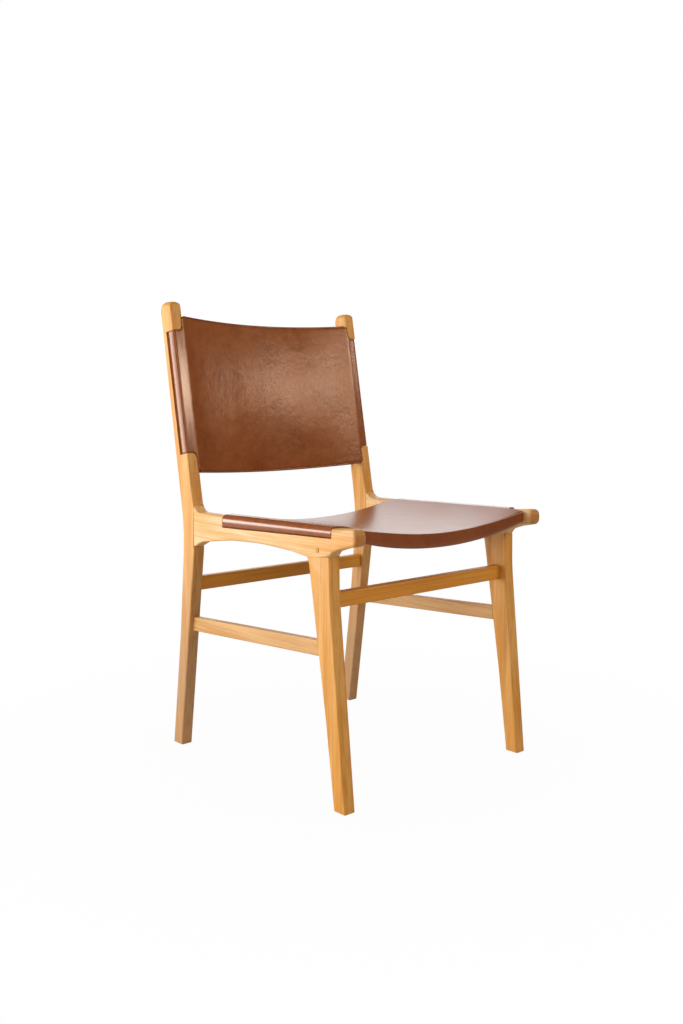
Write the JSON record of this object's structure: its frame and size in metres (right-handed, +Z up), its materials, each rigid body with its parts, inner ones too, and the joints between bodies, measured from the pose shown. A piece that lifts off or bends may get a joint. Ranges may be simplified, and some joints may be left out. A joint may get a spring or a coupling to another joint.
{
  "type": "dining chair",
  "caption": "Timber dining chair with a padded leather seat and back slung between two side frames that sweep from seat rail to post.",
  "frame": {"origin": "on the floor, under the middle of the chair's whole width and depth", "axes": "+Z up, the chair faces -Y, +X to the right as seen from the front"},
  "size_m": [0.4664, 0.5454, 0.85],
  "materials": {
    "timber": "oiled, satin",
    "rail_timber": "oiled, satin",
    "stretcher_timber": "oiled, satin",
    "pin_timber": "satin",
    "leather": "polished, semi-gloss",
    "edge_leather": "polished, semi-gloss",
    "pad": "matt felt"
  },
  "bodies": {
    "root": {"back_leg_left": "timber", "back_leg_right": "timber", "front_leg_left": "timber", "front_leg_right": "timber", "seat_rail_left": "rail_timber", "seat_rail_right": "rail_timber", "side_stretcher_left": "stretcher_timber", "side_stretcher_right": "stretcher_timber", "front_stretcher": "stretcher_timber", "back_stretcher": "stretcher_timber", "joint_peg_left": "pin_timber", "joint_peg_right": "pin_timber", "rail_dowel_left_upper": "pin_timber", "rail_dowel_left_lower": "pin_timber", "rail_dowel_right_upper": "pin_timber", "rail_dowel_right_lower": "pin_timber", "seat_leather_upper": "leather", "seat_leather_lower": "leather", "seat_edge_front": "edge_leather", "seat_edge_rear": "edge_leather", "seat_pad": "pad", "back_leather_front": "leather", "back_leather_rear": "leather", "back_edge_bottom": "edge_leather", "back_edge_top": "edge_leather", "back_pad": "pad"}
  },
  "joints": []
}
